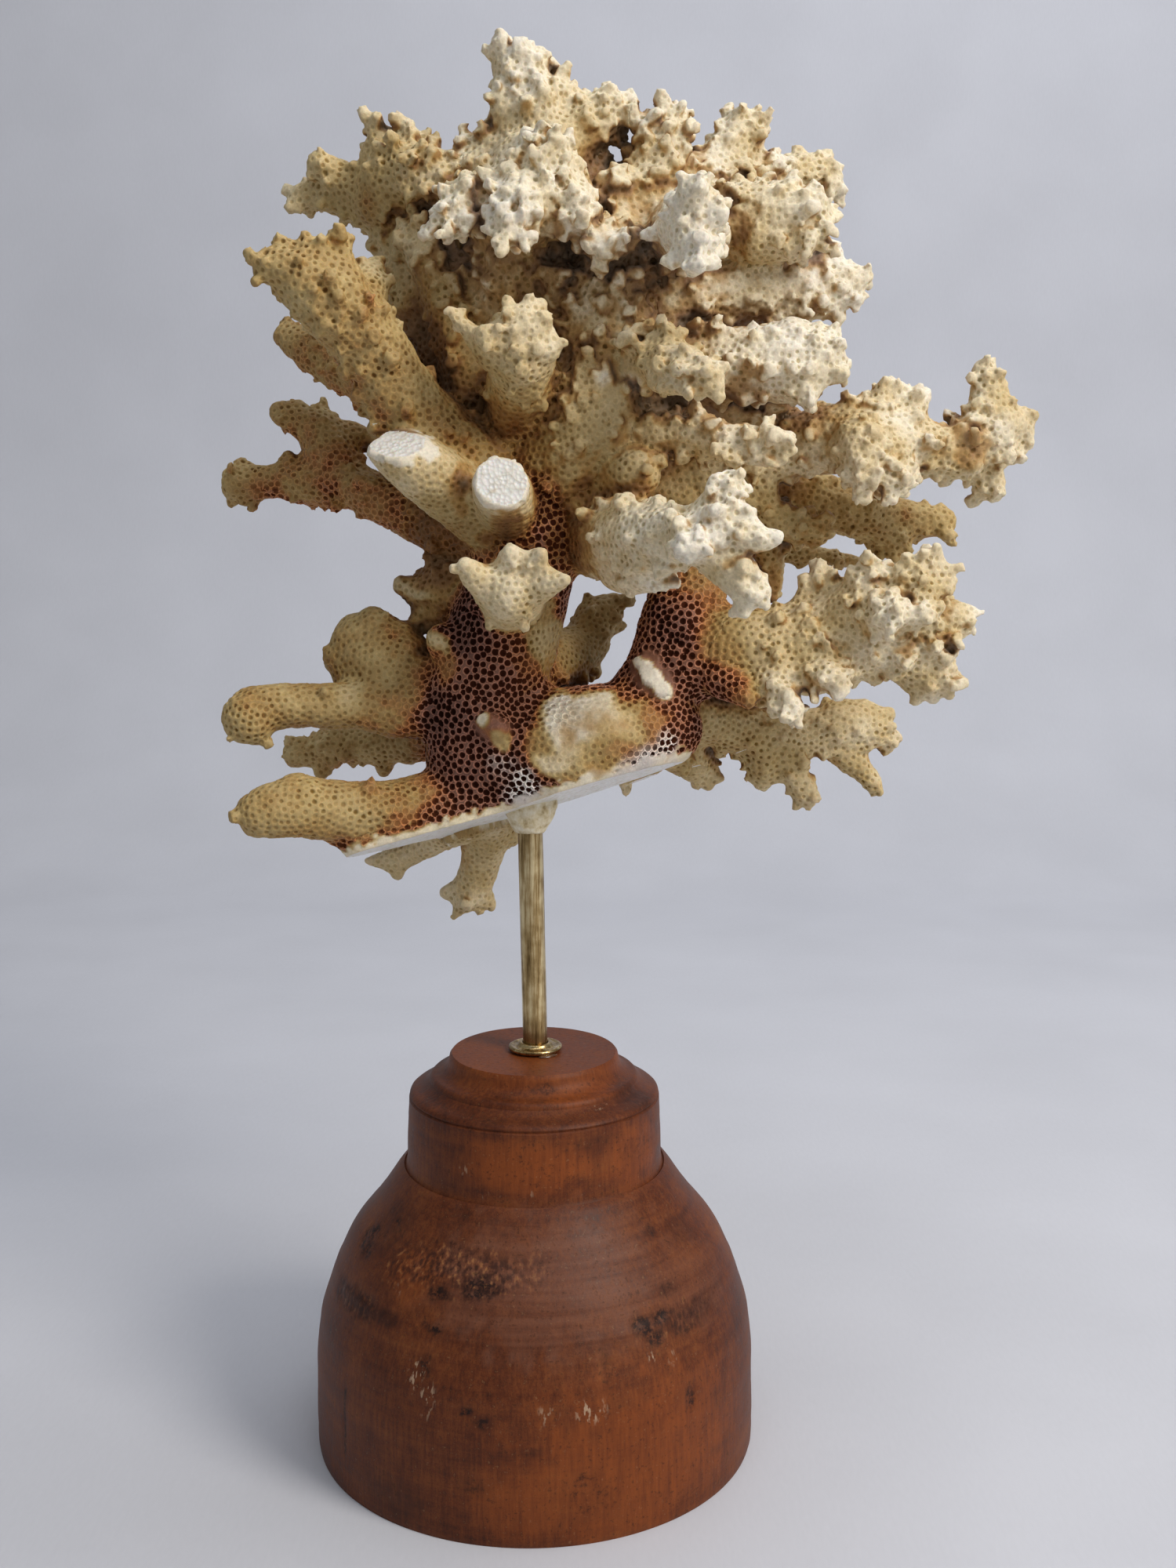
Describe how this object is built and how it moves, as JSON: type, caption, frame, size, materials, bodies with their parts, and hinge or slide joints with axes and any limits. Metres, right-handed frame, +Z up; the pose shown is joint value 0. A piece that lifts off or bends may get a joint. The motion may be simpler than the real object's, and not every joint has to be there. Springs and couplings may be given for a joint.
{
  "type": "branching coral",
  "caption": "Dry branching coral skeleton with knobby, pore-covered limbs, carried by a thin brass rod on a domed turned-wood base.",
  "frame": {"origin": "centre of the wooden base's flat underside", "axes": "+Z up the brass rod, +X to the right and +Y to the back as seen in the front view"},
  "size_m": [0.1631, 0.106, 0.2767],
  "materials": {
    "coral": "dry and matt, dark maroon-brown at the foot, ochre at the sides, cream to off-white at the tips",
    "wood": "turned, stained and waxed to a satin",
    "brass": "tarnished, drawn lengthwise, with a low shine",
    "filler": "dull cream filler, rough where it set"
  },
  "bodies": {
    "root": {"wood_base": "wood", "brass_rod": "brass", "brass_collar": "brass", "rod_filler": "filler", "left_stem": "coral", "right_stem": "coral", "crown": "coral", "right_crown": "coral", "low_left_finger": "coral", "left_arm": "coral", "left_low_arm": "coral", "left_cluster": "coral", "front_ledge": "coral", "sawn_branches": "coral", "long_left_finger": "coral", "upper_left_finger": "coral", "small_left_finger": "coral", "top_left_branch": "coral", "centre_front": "coral", "front_column": "coral", "right_upper_arm": "coral", "right_lower_arm": "coral", "front_shelf": "coral", "knobby_arm": "coral", "far_right_arm": "coral", "right_back_arm": "coral", "tan_stub": "coral", "tan_branch": "coral", "white_branch": "coral", "right_fan": "coral", "low_right_branch": "coral", "low_back_branch": "coral", "hanging_branch": "coral", "left_hanging_branch": "coral", "mid_back_branch": "coral", "back_crown": "coral", "back_left_branch": "coral", "back_middle_branch": "coral", "back_right_branch": "coral", "back_upper_right": "coral", "back_low_branch": "coral", "back_foot_branch": "coral", "back_fan": "coral"}
  },
  "joints": []
}
